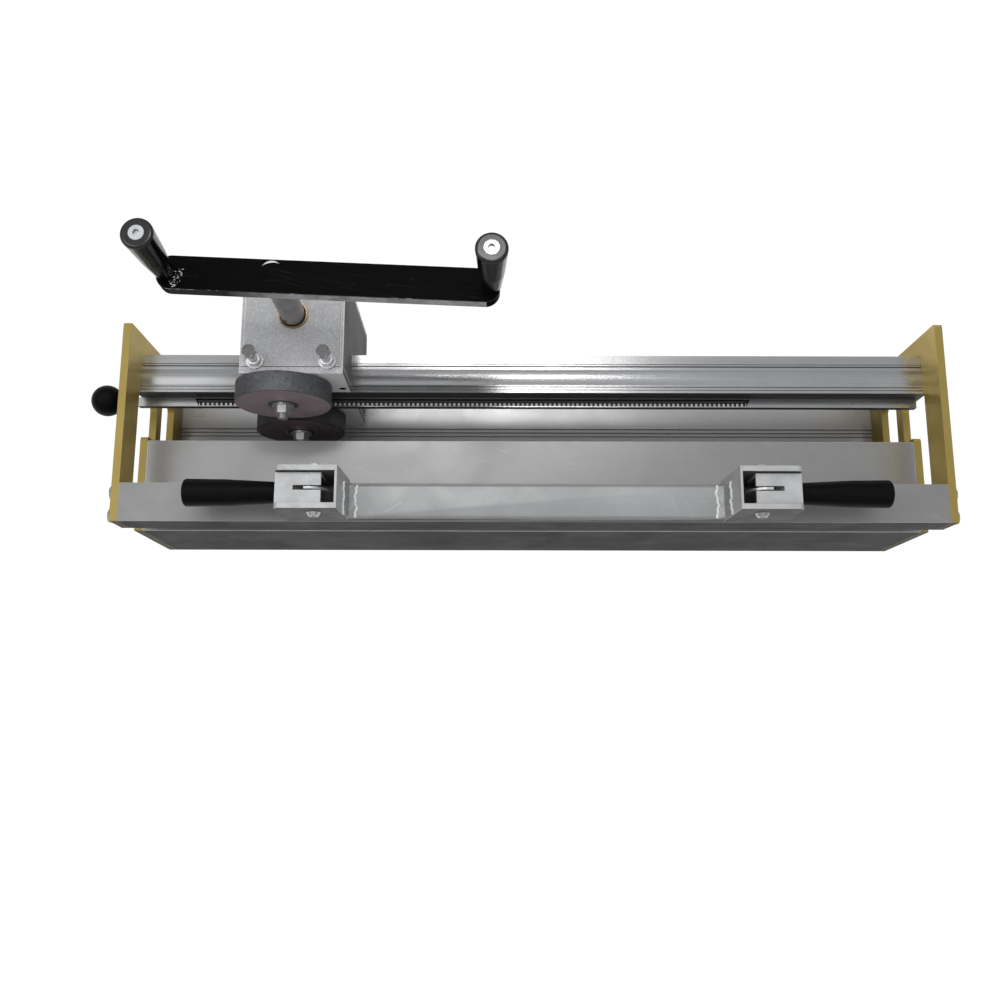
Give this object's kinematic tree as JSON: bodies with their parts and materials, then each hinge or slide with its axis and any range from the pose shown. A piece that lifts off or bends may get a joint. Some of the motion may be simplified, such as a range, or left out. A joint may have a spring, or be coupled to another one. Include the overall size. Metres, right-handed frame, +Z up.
{
  "type": "belt lacing machine",
  "caption": "Bench machine that rolls lacing hooks into a belt end: a hand crank drives a carriage with pinch rollers along a comb between gold end plates, with a belt clamp in front.",
  "frame": {"origin": "middle of the base on the bench, half way between the end plates and half way along their depth", "axes": "+X along the guide beam to the right, +Y to the back, away from the belt clamp, +Z up"},
  "size_m": [0.9175, 0.2658, 0.4096],
  "materials": {
    "brass_anodised": "gold anodised, satin",
    "table_aluminium": "satin",
    "beam_aluminium": "drawn, bright",
    "carriage_aluminium": "bead blasted",
    "clamp_aluminium": "milled and welded",
    "zinc_steel": "zinc plated",
    "ground_steel": "ground",
    "black_steel": "black paint",
    "roller_steel": "blackened, brown bloom",
    "bronze": "turned",
    "black_plastic": "semi gloss",
    "white_nylon": "matte"
  },
  "bodies": {
    "frame": {"end_plate_left": "brass_anodised", "end_plate_right": "brass_anodised", "front_table": "table_aluminium", "lower_box": "table_aluminium", "base_plate": "table_aluminium", "guide_beam": "beam_aluminium", "rack": "ground_steel", "rack_screws": "zinc_steel", "comb_bar": "beam_aluminium", "comb": "ground_steel", "end_plate_bolts_left": "zinc_steel", "end_plate_bolts_right": "zinc_steel", "clamp_anchor_left": "zinc_steel", "clamp_anchor_right": "zinc_steel"},
    "carriage": {"carriage_side_left": "carriage_aluminium", "carriage_side_right": "carriage_aluminium", "carriage_deck": "carriage_aluminium", "carriage_back": "carriage_aluminium", "carriage_floor": "carriage_aluminium", "carriage_front_upper": "carriage_aluminium", "carriage_front_lower": "carriage_aluminium", "carriage_shelf": "carriage_aluminium", "adjusting_screws": "zinc_steel", "adjuster_lock_nuts": "zinc_steel", "slide_pad_top": "white_nylon", "slide_pad_bottom": "white_nylon", "upper_axle": "ground_steel", "upper_axle_nut": "zinc_steel", "lower_axle": "ground_steel", "lower_axle_nut": "zinc_steel", "shaft_bush_upper": "bronze", "shaft_bush_lower": "bronze"},
    "crank": {"crank_shaft": "ground_steel", "pinion": "ground_steel", "crank_bar": "black_steel", "grip_spindle_left": "zinc_steel", "grip_spindle_right": "zinc_steel"},
    "grip_left": {"crank_grip_left": "black_plastic"},
    "grip_right": {"crank_grip_right": "black_plastic"},
    "upper_roller": {"upper_roller": "roller_steel", "upper_roller_bearing": "ground_steel"},
    "lower_roller": {"lower_roller": "roller_steel", "lower_roller_bearing": "ground_steel"},
    "pin": {"lacing_pin": "ground_steel", "pin_knob": "black_plastic"},
    "clamp": {"clamp_bar": "clamp_aluminium", "clamp_bracket_left": "clamp_aluminium", "clamp_bracket_right": "clamp_aluminium", "clamp_pivot_left": "zinc_steel", "clamp_pivot_right": "zinc_steel"},
    "lever_left": {"lever_head_left": "clamp_aluminium", "lever_grip_left": "black_plastic"},
    "lever_right": {"lever_head_right": "clamp_aluminium", "lever_grip_right": "black_plastic"}
  },
  "joints": [
    {"name": "carriage_slide", "type": "slide", "parent": "frame", "child": "carriage", "axis": [1, 0, 0], "range_m": [-0.108, 0.615]},
    {"name": "crank_turn", "type": "hinge", "parent": "carriage", "child": "crank", "pos_m": [-0.248, 0.106, 0.3], "axis": [0, 0, 1], "range_deg": [-2521.92, 447]},
    {"name": "upper_roller_turn", "type": "hinge", "parent": "carriage", "child": "upper_roller", "pos_m": [-0.261, 0.03, 0.1963], "axis": [0, 1, 0], "range_deg": [-128.76, 709.74]},
    {"name": "lower_roller_turn", "type": "hinge", "parent": "carriage", "child": "lower_roller", "pos_m": [-0.261, 0.03, 0.0877], "axis": [0, 1, 0], "range_deg": [-709.74, 128.76]},
    {"name": "grip_left_spin", "type": "hinge", "parent": "crank", "child": "grip_left", "pos_m": [-0.35191, 0.11036, 0.36], "axis": [0, 0, 1], "continuous": true},
    {"name": "grip_right_spin", "type": "hinge", "parent": "crank", "child": "grip_right", "pos_m": [-0.04318, 0.09742, 0.36], "axis": [0, 0, 1], "continuous": true},
    {"name": "pin_pull", "type": "slide", "parent": "frame", "child": "pin", "axis": [-1, 0, 0], "range_m": [0, 0.61]},
    {"name": "clamp_lift", "type": "slide", "parent": "frame", "child": "clamp", "axis": [0, 0, 1], "range_m": [0, 0.012]},
    {"name": "lever_left_swing", "type": "hinge", "parent": "clamp", "child": "lever_left", "pos_m": [-0.2155, -0.085, 0.253], "axis": [0, 1, 0], "range_deg": [0, 100]},
    {"name": "lever_right_swing", "type": "hinge", "parent": "clamp", "child": "lever_right", "pos_m": [0.2195, -0.085, 0.253], "axis": [0, -1, 0], "range_deg": [0, 100]}
  ],
  "couplings": [
    {"joint": "crank_turn", "follows": "carriage_slide", "rad_per_m": -71.429},
    {"joint": "upper_roller_turn", "follows": "carriage_slide", "rad_per_m": 20},
    {"joint": "lower_roller_turn", "follows": "carriage_slide", "rad_per_m": -20}
  ]
}
